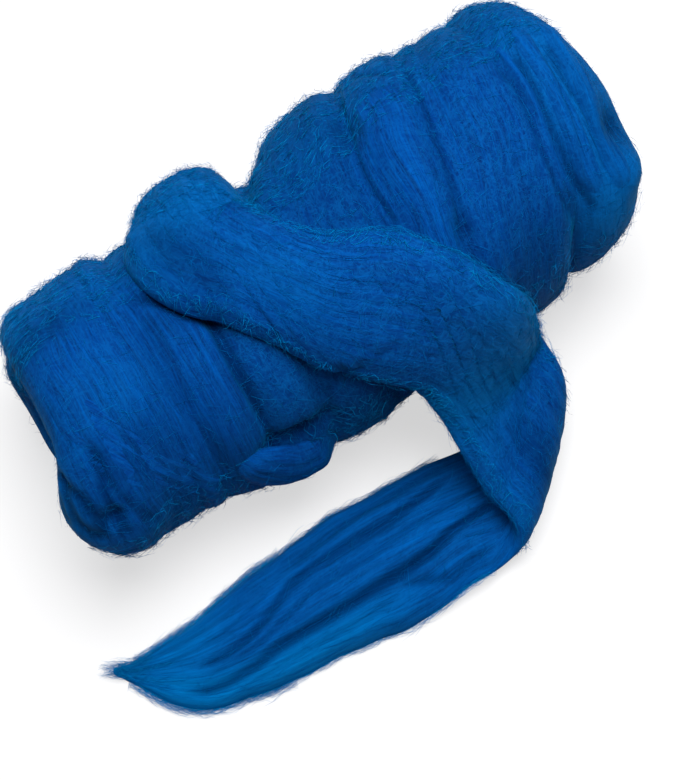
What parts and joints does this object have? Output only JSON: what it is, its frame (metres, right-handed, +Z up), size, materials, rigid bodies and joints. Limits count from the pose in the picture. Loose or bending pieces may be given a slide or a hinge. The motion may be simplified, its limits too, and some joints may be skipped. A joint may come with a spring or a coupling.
{
  "type": "wool roving roll",
  "caption": "Roll of loosely wound combed wool roving for spinning and felting, its free end laid across the top, down to the table and folded back to a tapered tip.",
  "frame": {"origin": "middle of the flat spot under the roll, on the table", "axes": "+X along the roll, +Z up, +Y to the side where the loose end comes up the roll; the loose end runs along the table on the -Y side"},
  "size_m": [0.3851, 0.2644, 0.1593],
  "materials": {
    "wool_blue": "soft matt combed fibre, royal blue",
    "wool_blue_pale": "soft matt combed fibre, royal blue, a little paler"
  },
  "bodies": {
    "root": {"wound_roll": "wool_blue", "loose_end": "wool_blue_pale"}
  },
  "joints": []
}
